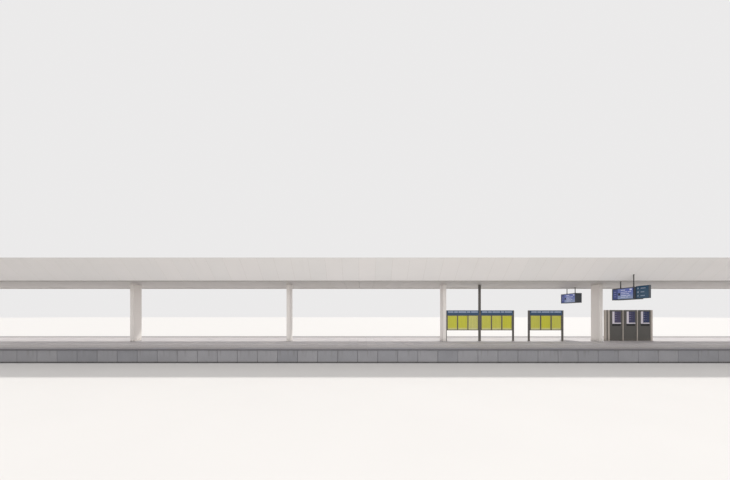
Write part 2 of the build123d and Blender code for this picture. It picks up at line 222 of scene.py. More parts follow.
def concrete():
    """Precast units: each a little lighter or darker, with pores, drip stains, and painted shade in a dark
    band along the foot.
    """
    drip_low, drip_high, splash_top, foot_low, foot_top = 0.08, 0.33, 0.09, 0.02, 0.06
    look = Finish("precast_concrete", specular_ior_level=0.35)
    number, across = look.unit(look.x, wall_unit, 0.5), look.unit(look.y, end_unit, 0.5)
    colour = look.mix(look.chance(number, 3.0, across), (138, 138, 142), (151, 150, 153))
    colour = look.shade(colour, look.noise(2.2, 4.0), 0.86, 1.12)
    drips = look.spread(look.noise(14.0, 3.0, (1, 1, 0.06)), 0.52, 0.74)
    stains = look.times(look.times(drips, look.spread(look.z, drip_low, drip_high)), 0.35)
    colour = look.mix(stains, colour, (112, 108, 106))
    splash = look.times(look.spread(look.z, 0.0, splash_top, 1.0, 0.0), 0.45)
    colour = look.mix(splash, colour, (122, 116, 108))
    # Painted shade: a dark band along the foot of the wall, where it meets the ground.
    foot_shade_level = look.math("ADD", look.z, look.times(look.noise(30.0, 4.0), 0.02))
    foot = look.times(look.spread(foot_shade_level, foot_low, foot_top, 1.0, 0.0), 0.9)
    colour = look.mix(foot, colour, (58, 57, 58))
    pores = look.spread(look.noise(170.0, 2.0), 0.30, 0.42)
    colour = look.shade(colour, pores, 0.82, 1.0)
    look.bump(pores, 0.0012, 0.5)
    look.bump(look.noise(26.0, 4.0), 0.004, 0.25)
    look.roughness(9.0, 3.0, 0.72, 0.9)
    return look.done(colour)


def edge_slab_finish():
    """Edge slabs: smooth coping with painted shade on its nose, a worn cream line, and paler concrete inside
    it; the coping's darker tone is partly painted shade.
    """
    nose_end, coping_end, line_end, soft = 0.012, 0.400, 0.465, 0.005
    look = Finish("edge_slab_concrete", specular_ior_level=0.2)
    inwards = look.math("SUBTRACT", half_width, look.math("ABSOLUTE", look.y))
    # Both zones are darker than the pavers, and the coping darker than the slab inside it: partly the tone of
    # the stone, partly painted shade along the platform's front.
    tone = look.chance(look.unit(look.x, slab), 7.0)
    coping = look.mix(tone, (158, 154, 154), (154, 153, 158))
    inner = look.mix(tone, (176, 172, 174), (183, 179, 180))
    colour = look.mix(look.spread(inwards, coping_end - soft, coping_end + soft), coping, inner)
    colour = look.shade(colour, look.noise(3.0, 4.0), 0.90, 1.08)
    colour = look.shade(colour, look.noise(240.0, 2.0), 0.90, 1.08)
    wear = look.spread(look.noise(22.0, 5.0), 0.30, 0.44)
    line = look.times(look.band(inwards, coping_end, line_end, 0.0015), wear)
    colour = look.mix(look.times(line, 0.75), colour, (214, 208, 194))
    # Painted shade: the slab's upright nose darkened for the shadow line under the coping's overhang.
    nose = look.times(look.spread(inwards, 0.0, nose_end, 1.0, 0.0), 0.9)
    colour = look.mix(nose, colour, (98, 96, 100))
    look.bump(look.noise(180.0, 3.0), 0.0008, 0.4)
    look.bump(look.noise(7.0, 3.0), 0.003, 0.2)
    look.roughness(5.0, 4.0, 0.55, 0.85)
    return look.done(colour)


def paving_finish():
    """Square pavers, no two quite alike, with fine grit and a few soft marks."""
    look = Finish("paver_concrete", specular_ior_level=0.2)
    column, row = look.unit(look.x, tile_x), look.unit(look.y, tile_y)
    colour = look.mix(look.chance(column, row, 1.0), (202, 197, 199), (215, 210, 209))
    colour = look.mix(look.times(look.chance(column, row, 5.0), 0.5), colour, (200, 200, 203))
    colour = look.shade(colour, look.noise(1.6, 4.0), 0.92, 1.06)
    colour = look.shade(colour, look.noise(260.0, 2.0), 0.90, 1.08)
    marks = look.spread(look.noise(11.0, 5.0, roughness=0.7), 0.66, 0.74)
    colour = look.mix(look.times(marks, 0.3), colour, (150, 144, 140))
    look.bump(look.noise(200.0, 3.0), 0.0007, 0.4)
    look.roughness(4.0, 4.0, 0.5, 0.82)
    return look.done(colour)


def stud_finish():
    """Warning studs: a little paler than their slabs, with fine grit."""
    look = Finish("tactile_stud", specular_ior_level=0.25)
    colour = look.mix(look.noise(20.0, 3.0), (196, 192, 190), (210, 206, 203))
    colour = look.shade(colour, look.noise(240.0, 2.0), 0.92, 1.06)
    look.bump(look.noise(180.0, 3.0), 0.0005, 0.4)
    look.roughness(9.0, 3.0, 0.5, 0.75)
    return look.done(colour)


def paint(name, colour, rough, dirt=0.0):
    """Satin paint on metal: a faint ripple, a slightly uneven gloss, and dirt near the ground."""
    dirt_top = 0.15
    look = Finish(name, specular_ior_level=0.5)
    tone = look.shade(colour, look.noise(1.3, 3.0, (1, 1, 0.5)), 0.95, 1.05)
    tone = look.shade(tone, look.noise(60.0, 3.0), 0.97, 1.03)
    if dirt:
        height = look.math("SUBTRACT", look.z, platform_top)
        low = look.spread(height, 0.0, dirt_top, 1.0, 0.0)
        patchy = look.times(low, look.spread(look.noise(18.0, 4.0), 0.25, 0.7))
        tone = look.mix(look.times(patchy, dirt), tone, (128, 118, 106))
    look.bump(look.noise(130.0, 2.0), 0.0003, 0.15)
    look.roughness(12.0, 3.0, rough - 0.07, rough + 0.1)
    return look.done(tone)


def drip_shade_finish():
    """The lip under the fold: grey on its outer face as painted shade under the fold, and on its inner side
    the paler paint of the soffit, painted lighter to take away its shade.
    """
    look = Finish("drip_coat", specular_ior_level=0.4)
    # Painted shade and painted light: the outer face grey for a shaded line under the fold, the inner face
    # pale so that it shows none of its shade.
    outside = look.spread(look.math("ABSOLUTE", look.y), drip_face - 0.004, drip_face - 0.002)
    colour = look.mix(outside, (214, 210, 206), (150, 145, 141))
    colour = look.shade(colour, look.noise(2.0, 3.0), 0.95, 1.05)
    look.bump(look.noise(130.0, 2.0), 0.0003, 0.15)
    look.roughness(12.0, 3.0, 0.42, 0.6)
    return look.done(colour)


def cladding_finish(name, first, second, joints=False):
    """Coated panels, each with its own slight tone, a faint waviness, rain streaks, painted shade that
    darkens them towards the top, and fine butt joints.
    """
    look = Finish(name, specular_ior_level=0.3)
    colour = look.mix(look.chance(look.unit(look.x, panel, 0.5), 11.0), first, second)
    colour = look.shade(colour, look.noise(0.8, 3.0), 0.97, 1.03)
    streaks = look.spread(look.noise(9.0, 4.0, (1, 0.05, 0.05)), 0.55, 0.85)
    above = look.spread(look.z, soffit_level + 0.05, canopy_top)
    colour = look.mix(look.times(look.times(streaks, above), 0.16), colour, (170, 164, 156))
    # Painted shade: the panels grow darker towards the top of the canopy.
    colour = look.mix(look.times(above, 0.16), colour, (204, 199, 192))
    if joints:
        butt = look.spread(look.off_middle(look.x, panel, 0.5), 0.003, 0.005, 0.7, 0.0)
        colour = look.mix(butt, colour, (96, 92, 88))
    look.bump(look.noise(3.0, 2.0), 0.004, 0.12)
    look.bump(look.noise(400.0, 2.0), 0.0002, 0.15)
    look.roughness(6.0, 3.0, 0.38, 0.55)
    return look.done(colour)


def metal(name, colour, rough, metallic, scratch=(1, 1, 1)):
    """Bare or galvanised metal with soft patches and fine scratches."""
    look = Finish(name, metallic=metallic)
    tone = look.shade(colour, look.noise(7.0, 4.0), 0.85, 1.1)
    tone = look.shade(tone, look.noise(160.0, 2.0, scratch), 0.93, 1.05)
    look.bump(look.noise(160.0, 2.0, scratch), 0.0003, 0.25)
    look.roughness(10.0, 4.0, rough - 0.1, rough + 0.15)
    return look.done(tone)


def fill_finish():
    """Compacted stone and sand."""
    look = Finish("compacted_fill", specular_ior_level=0.2, roughness=0.95)
    colour = look.mix(look.noise(45.0, 4.0), (86, 80, 72), (132, 124, 112))
    look.bump(look.noise(60.0, 4.0), 0.006, 0.8)
    return look.done(colour)


def glass_finish(name, colour, glow, strength, axis=None, low=0.0, high=1.0):
    """The lit glass of a screen: cloudy, or from one colour to another along an axis of the model."""
    look = Finish(name, roughness=0.15, specular_ior_level=0.35, coat_weight=0.15, coat_roughness=0.05)
    share = look.spread(getattr(look, axis), low, high) if axis else look.noise(5.0, 2.0)
    tone = look.shade(look.mix(share, colour, glow), look.noise(60.0, 2.0), 0.92, 1.08)
    look.link(tone, look.shader.inputs["Emission Color"])
    look.shader.inputs["Emission Strength"].default_value = strength
    look.bump(look.noise(2.0, 2.0), 0.001, 0.05)
    return look.done(tone)


def sheet_finish(name, first, second, ink_share):
    """Printed sheets behind a clear cover: rows of plain ruled lines on yellow, paler at the foot."""
    ruled_pitch, foot_margin, top_margin, pale_foot = 0.0125, 0.04, 0.05, 0.09
    look = Finish(name, roughness=0.4, coat_weight=0.25, coat_roughness=0.06)
    colour = look.mix(look.noise(3.0, 2.0), first, second)
    lines = look.spread(look.off_middle(look.z, ruled_pitch), 0.10, 0.16, 1.0, 0.0)
    words = look.spread(look.noise(60.0, 1.0, (1, 1, 0.02)), 0.42, 0.50)
    printed = look.band(look.z, sheets_low.z + foot_margin, sheets_high.z - top_margin, 0.004)
    ink = look.times(look.times(lines, words), printed)
    colour = look.mix(look.times(ink, ink_share), colour, (70, 72, 60))
    edge = look.spread(look.z, sheets_low.z, sheets_low.z + pale_foot, 0.5, 0.0)
    colour = look.mix(edge, colour, (226, 224, 196))
    look.bump(look.noise(7.0, 2.0), 0.001, 0.1)
    return look.done(colour)


# Meshes
def bevelled_faces():
    """Faces of a bevelled box with three points at each corner: its 6 sides, 12 edges and 8 corners."""
    step, faces = (12, 6, 3), []
    for flat in range(3):
        u, v = (flat + 1) % 3, (flat + 2) % 3
        for end in (0, 1):
            turns = ((0, 0), (1, 0), (1, 1), (0, 1))
            ring = [step[flat] * end + step[u] * du + step[v] * dv + flat for du, dv in turns]
            faces.append(ring if end else ring[::-1])
        for du in (0, 1):
            for dv in (0, 1):
                first = step[u] * du + step[v] * dv
                second = first + step[flat]
                ring = [first + u, first + v, second + v, second + u]
                faces.append(ring if du == dv else ring[::-1])
    for corner in range(8):
        ring = [3 * corner, 3 * corner + 1, 3 * corner + 2]
        faces.append(ring if bin(corner).count("1") % 2 else ring[::-1])
    return faces


def put(name, data):
    """A new object in the scene."""
    made = bpy.data.objects.new(name, data)
    bpy.context.scene.collection.objects.link(made)
    return made


class Solids:
    """Collects many small closed solids into one mesh."""

    plain_faces = [(0, 1, 3, 2), (4, 6, 7, 5), (0, 4, 5, 1), (2, 3, 7, 6), (0, 2, 6, 4), (1, 5, 7, 3)]
    bevelled_faces = bevelled_faces()

    def __init__(self):
        self.points = []
        self.faces = []

    def add(self, points, faces):
        start = len(self.points)
        self.points.extend(points)
        self.faces.extend([tuple(start + i for i in face) for face in faces])

    def box(self, low, high, bevel=0.0):
        """A box between two corners, all its edges bevelled."""
        points = []
        for ends in [(a, b, c) for a in (0, 1) for b in (0, 1) for c in (0, 1)]:
            corner = [(low, high)[end][k] for k, end in enumerate(ends)]
            if bevel:
                inner = [value + bevel * (1 - 2 * end) for value, end in zip(corner, ends)]
                points += [tuple(corner[k] if k == flat else inner[k] for k in range(3)) for flat in range(3)]
            else:
                points.append(tuple(corner))
        self.add(points, self.bevelled_faces if bevel else self.plain_faces)

    def stud(self, x, y, z, low_radius, high_radius, height, sides):
        """A low round stud, or any short upright cone with a flat top."""
        points = []
        for level, radius in ((z, low_radius), (z + height, high_radius)):
            for i in range(sides):
                turn = 2 * math.pi * i / sides
                points.append((x + radius * math.cos(turn), y + radius * math.sin(turn), level))
        faces = [(i, (i + 1) % sides, sides + (i + 1) % sides, sides + i) for i in range(sides)]
        faces += [tuple(reversed(range(sides))), tuple(range(sides, 2 * sides))]
        self.add(points, faces)

    def stack(self, layers):
        """A solid through two or more outlines with as many points, closed at the first and the last."""
        count, points = len(layers[0]), [point for layer in layers for point in layer]
        faces = [tuple(reversed(range(count))), tuple(range(len(points) - count, len(points)))]
        for level in range(len(layers) - 1):
            base = level * count
            faces += [
                (base + i, base + (i + 1) % count, base + count + (i + 1) % count, base + count + i)
                for i in range(count)
            ]
        middle = sum((Vector(point) for point in points), Vector()) / len(points)
        a, b, c = (Vector(points[i]) for i in faces[1][:3])
        if (b - a).cross(c - a).dot(a - middle) < 0:
            faces = [face[::-1] for face in faces]
        self.add(points, faces)

    def ring(self, outer, inner, z0, z1):
        """A closed band between two outlines in X and Y, with as many points, given anticlockwise."""
        count = len(outer)
        points = [(x, y, z) for z in (z0, z1) for outline in (outer, inner) for x, y in outline]
        faces = []
        for i in range(count):
            j = (i + 1) % count
            faces.append((i, j, 2 * count + j, 2 * count + i))
            faces.append((count + j, count + i, 3 * count + i, 3 * count + j))
            faces.append((2 * count + i, 2 * count + j, 3 * count + j, 3 * count + i))
            faces.append((j, i, count + i, count + j))
        self.add(points, faces)

    def piece(self, name, material, slot, *replaced):
        """Makes the mesh a piece of the object."""
        mesh = bpy.data.meshes.new(name)
        mesh.from_pydata(self.points, [], self.faces)
        mesh.validate()
        mesh.materials.append(material)
        made = put(name, mesh)
        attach(made, "root")
        if replaced:
            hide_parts(*replaced)


def dress(material, *names):
    """Gives nodes of the model a material."""
    for name in names:
        for slot in nodes[name].material_slots:
            slot.material = material


# Platform surface
def around(rectangle, holes):
    """A rectangle in X and Y cut into up to four round a hole that it overlaps."""
    x0, x1, y0, y1 = rectangle
    sliver = 0.01
    for a0, a1, b0, b1 in holes:
        if x0 < a1 and x1 > a0 and y0 < b1 and y1 > b0:
            middle = (max(x0, a0), min(x1, a1))
            parts = [(x0, a0, y0, y1), (a1, x1, y0, y1), (*middle, y0, b0), (*middle, b1, y1)]
            return [part for part in parts if part[1] - part[0] > sliver and part[3] - part[2] > sliver]
    return [rectangle]


def paving_tiles():
    """Square pavers with open joints, cut round the columns."""
    tiles = Solids()
    half_joint, bevel, gap = 0.0015, 0.0012, 0.004
    holes = [(low.x - gap, high.x + gap, low.y - gap, high.y + gap) for low, high in column_boxes]
    for i in range(round(2 * half_length / tile_x)):
        for j in range(tile_rows):
            x, y = -half_length + i * tile_x, paving_low.y + j * tile_y
            tile = (x + half_joint, x + tile_x - half_joint, y + half_joint, y + tile_y - half_joint)
            for x0, x1, y0, y1 in around(tile, holes):
                tiles.box((x0, y0, paving_low.z), (x1, y1, platform_top), bevel)
    return tiles


def tactile_studs(side):
    """The warning studs along one edge, in a grid that starts anew on each slab."""
    studs = Solids()
    rows, per_slab, zone_start, sink = 8, 17, 0.645, 0.0004
    radius, top_share, height, sides = 0.0100, 0.65, 0.0028, 7
    pitch = slab / per_slab
    for i in range(slabs_per_bay * bays * per_slab):
        for j in range(rows):
            x = -half_length + (i + 0.5) * pitch
            y = side * (half_width - zone_start - (j + 0.5) * pitch)
            studs.stud(x, y, platform_top - sink, radius, radius * top_share, height, sides)
    return studs


# Canopy detail
def fascia_face(z):
    """Distance of a fascia's outer face from the centre line, at a level."""
    return half_soffit + (z - fascia_low.z) * fascia_run / fascia_rise


def fascia_joint_strips(side):
    """The pale strip in each joint of a fascia, a little behind the face of the panels."""
    strips = Solids()
    inset, lap, clear = 0.0025, 0.0005, 0.001
    low, high, half = fascia_low.z + clear, fascia_high.z - clear, panel_gap / 2 + lap
    corners = ((low, inset), (high, inset), (high, fascia_thick), (low, fascia_thick))
    section = [(side * (fascia_face(z) - depth), z) for z, depth in corners]
    for joint in panel_joints:
        strips.stack([[(x, y, z) for y, z in section] for x in (joint - half, joint + half)])
    return strips


def roof_top(y):
    """Level of the top of the roof sheet at a distance from the centre line."""
    share = (y - roof_low.y) / (roof_high.y - roof_low.y)
    return roof_low.z + roof_sheet + share * (roof_high.z - roof_low.z - roof_sheet)


def roof_seams():
    """The standing seams of the roof sheets, over the joints of the cladding."""
    seams = Solids()
    half, height, sink, gutter_lap, end_gap = 0.0025, 0.013, 0.001, 0.02, 0.004
    section = ((-half, -sink), (half, -sink), (half, height), (-half, height))
    ends = (roof_low.y + gutter_lap, roof_high.y - end_gap)
    for joint in panel_joints:
        for side in (-1, 1):
            seams.stack([
                [(joint + across, side * y, roof_top(y) + up) for across, up in section] for y in ends
            ])
    return seams


def gutter_strainers():
    """A low domed strainer over the outlet at each column."""
    strainers = Solids()
    floor_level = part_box("valley_gutter")[0].z + gutter_floor
    rim, dome, sides = (0.055, 0.052, 0.006), (0.042, 0.018, 0.022), 20
    for low, high in column_boxes:
        x = (low.x + high.x) / 2
        strainers.stud(x, 0, floor_level, *rim, sides)
        strainers.stud(x, 0, floor_level + rim[2], *dome, sides)
    return strainers


def light_diffusers():
    """The milky cover in each light slot, just inside the soffit."""
    covers = Solids()
    clear, low, high, bevel = 0.0005, soffit_level + 0.003, soffit_level + 0.009, 0.0015
    y0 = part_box("light_housings")[0].y + housing_wall
    y1 = y0 + light_width
    half = (panel - panel_gap) / 2 - light_margin - clear
    for i in range(bays + 1):
        for x in ((i * bay - half_length) + side * light_panels * panel for side in (-1, 1)):
            if abs(x) < half_length:
                for near, far in ((y0, y1), (-y1, -y0)):
                    covers.box((x - half, near + clear, low), (x + half, far - clear, high), bevel)
    return covers


# Ends
def clipped(outline, side, limit):
    """The part of a convex outline in Y and Z that lies above (side 1) or below (side -1) a value of Y."""
    kept = []
    for first, second in zip(outline, outline[1:] + outline[:1]):
        inside, next_inside = side * (first[0] - limit) >= 0, side * (second[0] - limit) >= 0
        if inside:
            kept.append(first)
        if inside != next_inside:
            share = (limit - first[0]) / (second[0] - first[0])
            kept.append((limit, first[1] + share * (second[1] - first[1])))
    return kept


def toward(value, middle, inset):
    """A value moved by an inset toward the middle, and not past it."""
    return value + math.copysign(min(inset, abs(middle - value)), middle - value)


def canopy_end_panels(side):
    """Cladding panels with open joints over the plate that closes an end of the canopy."""
    panels = Solids()
    count, gap, margin, proud, bevel, sink = 8, 0.005, 0.003, 0.009, 0.0012, 0.0005
    low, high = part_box("canopy_end_right")
    z0, z1 = low.z + margin, fascia_high.z - margin
    half0, half1 = (fascia_face(z) - fascia_thick - margin for z in (z0, z1))
    outline = [(-half0, z0), (half0, z0), (half1, z1), (-half1, z1)]
    pitch = 2 * half1 / count
    for i in range(count):
        left, right = -half1 + i * pitch + gap / 2, -half1 + (i + 1) * pitch - gap / 2
        shape = clipped(clipped(outline, 1, left), -1, right)
        middle_y, middle_z = (sum(values) / len(shape) for values in zip(*shape))
        panels.stack([
            [(side * x, toward(y, middle_y, inset), toward(z, middle_z, inset)) for y, z in shape]
            for x, inset in ((high.x - sink, 0.0), (high.x + proud - bevel, 0.0), (high.x + proud, bevel))
        ])
    return panels


def end_wall_units(side):
    """Precast units across one end of the platform, with open joints and a wall behind them."""
    units = Solids()
    joint, bevel, thick = 0.006, 0.003, 0.05
    outer, inner, back = (side * x for x in (end_face, end_face - thick, -end_high.x))
    for i in range(end_units):
        y0 = end_low.y + i * end_unit
        low = (min(outer, inner), y0 + joint / 2, end_low.z)
        high = (max(outer, inner), y0 + end_unit - joint / 2, end_high.z)
        units.box(low, high, bevel)
    units.box((min(inner, back), end_low.y, end_low.z), (max(inner, back), end_high.y, end_high.z))
    return units


# Feet and fixings
def round_corners(x0, x1, y0, y1, radius, steps=4):
    """A rectangle in X and Y with rounded corners, anticlockwise."""
    left, right, front, rear = x0 + radius, x1 - radius, y0 + radius, y1 - radius
    points = []
    for corner, (x, y) in enumerate(((right, rear), (left, rear), (left, front), (right, front))):
        for step in range(steps + 1):
            turn = math.pi / 2 * (corner + step / steps)
            points.append((x + radius * math.cos(turn), y + radius * math.sin(turn)))
    return points


def column_collars():
    """A thin steel band round the foot of each column, over the gap in the paving."""
    collars = Solids()
    wide, tall = 0.009, 0.007
    for low, high in column_boxes:
        inner = round_corners(low.x, high.x, low.y, high.y, column_corner)
        outer = round_corners(low.x - wide, high.x + wide, low.y - wide, high.y + wide, column_corner + wide)
        collars.ring(outer, inner, platform_top, platform_top + tall)
    return collars


def slender_posts():
    """Middle and half sizes of the posts of the boards and of the free post beside the machines."""
    half, free_half = board_post / 2, end_post / 2
    first, second, third = board_boxes
    places = (first[0].x + half, second[1].x - half, third[0].x + half, third[1].x - half)
    posts = [(x, half, 0.0, half) for x in places]
    posts.append(((service_low.x + service_high.x) / 2, (service_high.x - service_low.x) / 2, 0.0, half))
    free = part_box("machine_posts")[0]
    posts.append((free.x + free_half, free_half, free.y + half, half))
    return posts


def foot_plates():
    """The bolted plate at the foot of each slender post."""
    plates = Solids()
    thick, lap, bevel, bolt, bolt_height, bolt_inset = 0.004, 0.022, 0.001, 0.005, 0.004, 0.010
    for x, half_x, y, half_y in slender_posts():
        x0, x1 = x - half_x - lap, x + half_x + lap
        y0, y1 = y - half_y - lap, y + half_y + lap
        plates.box((x0, y0, platform_top), (x1, y1, platform_top + thick), bevel)
        for bolt_x in (x0 + bolt_inset, x1 - bolt_inset):
            for bolt_y in (y0 + bolt_inset, y1 - bolt_inset):
                plates.stud(bolt_x, bolt_y, platform_top + thick, bolt, bolt, bolt_height, 6)
    return plates


# Signs and screens
mark_depth = 0.0012
mark_sink = 0.0004


def standing(level, thick):
    """Depths of a plate that stands on a surface at a level, sunk a little into it."""
    return (level - mark_sink, level + thick)


class Board:
    """An upright face of a box as one looks at it, measured from its lower left corner."""

    sides = {
        "front": (0, 0, (1, 0, 0), (0, -1, 0)), "rear": (1, 1, (-1, 0, 0), (0, 1, 0)),
        "left": (0, 1, (0, -1, 0), (-1, 0, 0)), "right": (1, 0, (0, 1, 0), (1, 0, 0)),
    }

    def __init__(self, solids, low, high, side):
        x_end, y_end, right, out = self.sides[side]
        self.solids = solids
        self.corner = Vector(((low, high)[x_end][0], (low, high)[y_end][1], low[2]))
        self.axes = (Vector(right), Vector((0, 0, 1)), Vector(out))

    def plate(self, across, up, depth, bevel=0.0006):
        """A bevelled plate between two distances across, two heights and two depths."""
        ends = [
            self.corner + sum((axis * value for axis, value in zip(self.axes, values)), Vector())
            for values in zip(across, up, depth)
        ]
        low = tuple(min(end[k] for end in ends) for k in range(3))
        high = tuple(max(end[k] for end in ends) for k in range(3))
        self.solids.box(low, high, bevel)


def display_parts():
    """Lit area, coloured column, marks, and the dark strip beside the sign's arm, on every display face."""
    areas, columns, marks, dim_marks, darks = kinds = [Solids() for _ in range(5)]
    gap, glass_thick, arm_strip = 0.003, 0.006, 0.055
    lit_column, lit_start, lit_end = (0.003, 0.182), 0.185, 0.773
    column_mark, column_levels, column_tall = (0.045, 0.130), (0.215, 0.145, 0.075), 0.024
    dark_block, title = ((0.20, 0.275), (0.115, 0.195)), ((0.300, 0.455), (0.262, 0.284))
    clock_start, clock_end, clock_up = 0.11, 0.035, (0.255, 0.300)
    rows, row_start, row_tall = ((0.205, 0.36), (0.155, 0.28), (0.100, 0.33), (0.050, 0.25)), 0.300, 0.016
    words = ((0.0, 0.62), (0.70, 1.0))
    glass, printed = standing(0.0, glass_thick), standing(glass_thick, mark_depth)
    up = (gap, display_high.z - display_low.z - 2 * display_rim - gap)
    recess = Vector((display_recess, display_rim, display_rim))
    for name in ("display_a", "display_b"):
        low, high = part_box(name)
        for side in ("left", "right"):
            area, column, mark, dim_mark, dark = (
                Board(kind, low + recess, high - recess, side) for kind in kinds
            )
            end = lit_end
            if name == "display_b":
                end -= arm_strip
                dark.plate((end + gap, lit_end), up, glass)
            area.plate((lit_start, end), up, glass)
            column.plate(lit_column, up, glass)
            dark.plate(*dark_block, printed)
            for level in column_levels:
                dim_mark.plate(column_mark, (level, level + column_tall), printed)
            mark.plate((end - clock_start, end - clock_end), clock_up, printed)
            mark.plate(*title, printed)
            for level, length in rows:
                for start, stop in words:
                    across = (row_start + length * start, row_start + length * stop)
                    mark.plate(across, (level, level + row_tall), printed)
    return areas, columns, marks, dim_marks, darks


def side_sign_parts():
    """The coloured plate on each broad face of the side sign, and its three rows of a square and a bar."""
    plates, marks = Solids(), Solids()
    thick, border, top_row, row_pitch = 0.003, 0.008, 0.80, 0.29
    square, square_half, bar_start, bar_half, bars = (0.045, 0.088), 0.021, 0.150, 0.012, (0.15, 0.11, 0.13)
    low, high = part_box("side_sign")
    wide, tall = high.y - low.y, high.z - low.z
    for side in ("left", "right"):
        plate, mark = Board(plates, low, high, side), Board(marks, low, high, side)
        plate.plate((border, wide - border), (border, tall - border), standing(0.0, thick))
        for row, length in enumerate(bars):
            level = tall * (top_row - row_pitch * row)
            for across, half in ((square, square_half), ((bar_start, bar_start + length), bar_half)):
                mark.plate(across, (level - half, level + half), standing(thick, mark_depth))
    return plates, marks


def board_bays():
    """Left and right side of the space between the two posts of each board."""
    first, second, third = board_boxes
    return (
        (first[0].x + board_post, service_low.x), (service_high.x, second[1].x - board_post),
        (third[0].x + board_post, third[1].x - board_post),
    )


def header_bars():
    """A row of plain pale bars on each broad face of the three headers."""
    bars = Solids()
    low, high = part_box("notice_headers")
    lengths, space, up = (0.19, 0.13, 0.27, 0.12, 0.24), 0.022, (0.082, 0.124)
    for left, right in board_bays():
        for side in ("front", "rear"):
            face = Board(bars, (left, low.y, low.z), (right, high.y, high.z), side)
            start = (right - left - sum(lengths) - space * (len(lengths) - 1)) / 2
            for length in lengths:
                face.plate((start, start + length), up, standing(0.0, mark_depth))
                start += length + space
    return bars


def sheet_places():
    """Left and right side of each of the nine backings."""
    places = []
    for left, right in board_bays():
        pitch = (right - left - board_bar) / sheets_per_board
        places += [(left + i * pitch + board_bar, left + (i + 1) * pitch) for i in range(sheets_per_board)]
    return places


def notice_prints():
    """The printed sheets, one on each face of each backing, in three sorts of paper."""
    sorts = (Solids(), Solids(), Solids())
    order = (0, 0, 2, 1, 1, 0, 1, 0, 1)
    side, foot, top, thick, bevel = 0.016, 0.028, 0.012, 0.0015, 0.0005
    up = (foot, sheets_high.z - sheets_low.z - top)
    for (left, right), sort in zip(sheet_places(), order):
        for facing in ("front", "rear"):
            low, high = (left, sheets_low.y, sheets_low.z), (right, sheets_high.y, sheets_high.z)
            sheet = Board(sorts[sort], low, high, facing)
            sheet.plate((side, right - left - side), up, standing(0.0, thick), bevel)
    return sorts


# Ticket machines
def screen_marks():
    """A few small generic marks down each screen of the machines."""
    marks, darks = Solids(), Solids()
    levels, mark, mark_tall, block, block_rise, block_tall = (
        (0.330, 0.250, 0.170, 0.090), (0.024, 0.082), 0.020, (0.098, 0.146), -0.006, 0.026
    )
    depth, bevel = standing(0.0, mark_depth), 0.0004
    low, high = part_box("machine_screens")
    for i in range(machines):
        corner = (low.x + i * machine_pitch, low.y, low.z)
        face, dark = Board(marks, corner, high, "front"), Board(darks, corner, high, "front")
        for level in levels:
            face.plate(mark, (level, level + mark_tall), depth, bevel)
            dark.plate(block, (level + block_rise, level + block_tall), depth, bevel)
    return marks, darks


def tray_liners():
    """The tray in each machine below its screen, near black as painted shade under the bracket's foot: back,
    floor, and a lip that hangs over the edge.
    """
    liners = Solids()
    wall, lip, apron, proud, clear, gap = 0.003, 0.012, 0.022, 0.002, 0.001, 0.0005
    bracket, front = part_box("screen_brackets")[0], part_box("ticket_machines")[0].y
    across, back = (clear, bracket_width - clear), gap - tray_depth
    for i in range(machines):
        corner = (bracket.x + i * machine_pitch, front, bracket.z - tray_height)
        face = Board(liners, corner, corner, "front")
        face.plate(across, (clear, tray_height - clear), (back, wall - tray_depth))
        face.plate(across, (clear, clear + wall), (back, proud))
        face.plate(across, (-apron, lip), (-wall, wall))
    return liners


def machine_doors():
    """The rear service door of each machine, with louvres and a handle, and the door below its tray."""
    doors, fittings = Solids(), Solids()
    plinth, thick, front_thick, bevel, lock_bevel = 0.07, 0.003, 0.002, 0.0012, 0.001
    margin, front_margin, front_top = 0.012, 0.052, 0.52
    lock_start, lock_end, lock_up, lock_thick = 0.080, 0.064, (0.470, 0.486), 0.002
    handle_start, handle_end, handle_up, handle_thick, handle_bevel = 0.055, 0.030, (0.52, 0.60), 0.008, 0.003
    louvres, louvre_margin, louvre_foot, louvre_pitch = 7, 0.12, 0.05, 0.022
    louvre_tall, louvre_thick, louvre_bevel = 0.009, 0.004, 0.0015
    low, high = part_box("ticket_machines")
    last_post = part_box("machine_posts")[1].x - end_post / 2
    joints = [low.x, last_post - 2 * machine_pitch, last_post - machine_pitch, high.x]
    for x0, x1 in zip(joints, joints[1:]):
        box, wide = ((x0, low.y, low.z), (x1, high.y, high.z)), x1 - x0
        rear, front = Board(doors, *box, "rear"), Board(doors, *box, "front")
        rear.plate((margin, wide - margin), (plinth, high.z - low.z - margin), standing(0.0, thick), bevel)
        depth = standing(0.0, front_thick)
        front.plate((front_margin, wide - front_margin), (plinth, front_top), depth, bevel)
        rear, front = Board(fittings, *box, "rear"), Board(fittings, *box, "front")
        depth = standing(front_thick, lock_thick)
        front.plate((wide - lock_start, wide - lock_end), lock_up, depth, lock_bevel)
        depth, across = standing(thick, louvre_thick), (louvre_margin, wide - louvre_margin)
        for i in range(louvres):
            level = plinth + louvre_foot + i * louvre_pitch
            rear.plate(across, (level, level + louvre_tall), depth, louvre_bevel)
        depth = standing(thick, handle_thick)
        rear.plate((wide - handle_start, wide - handle_end), handle_up, depth, handle_bevel)
    return doors, fittings


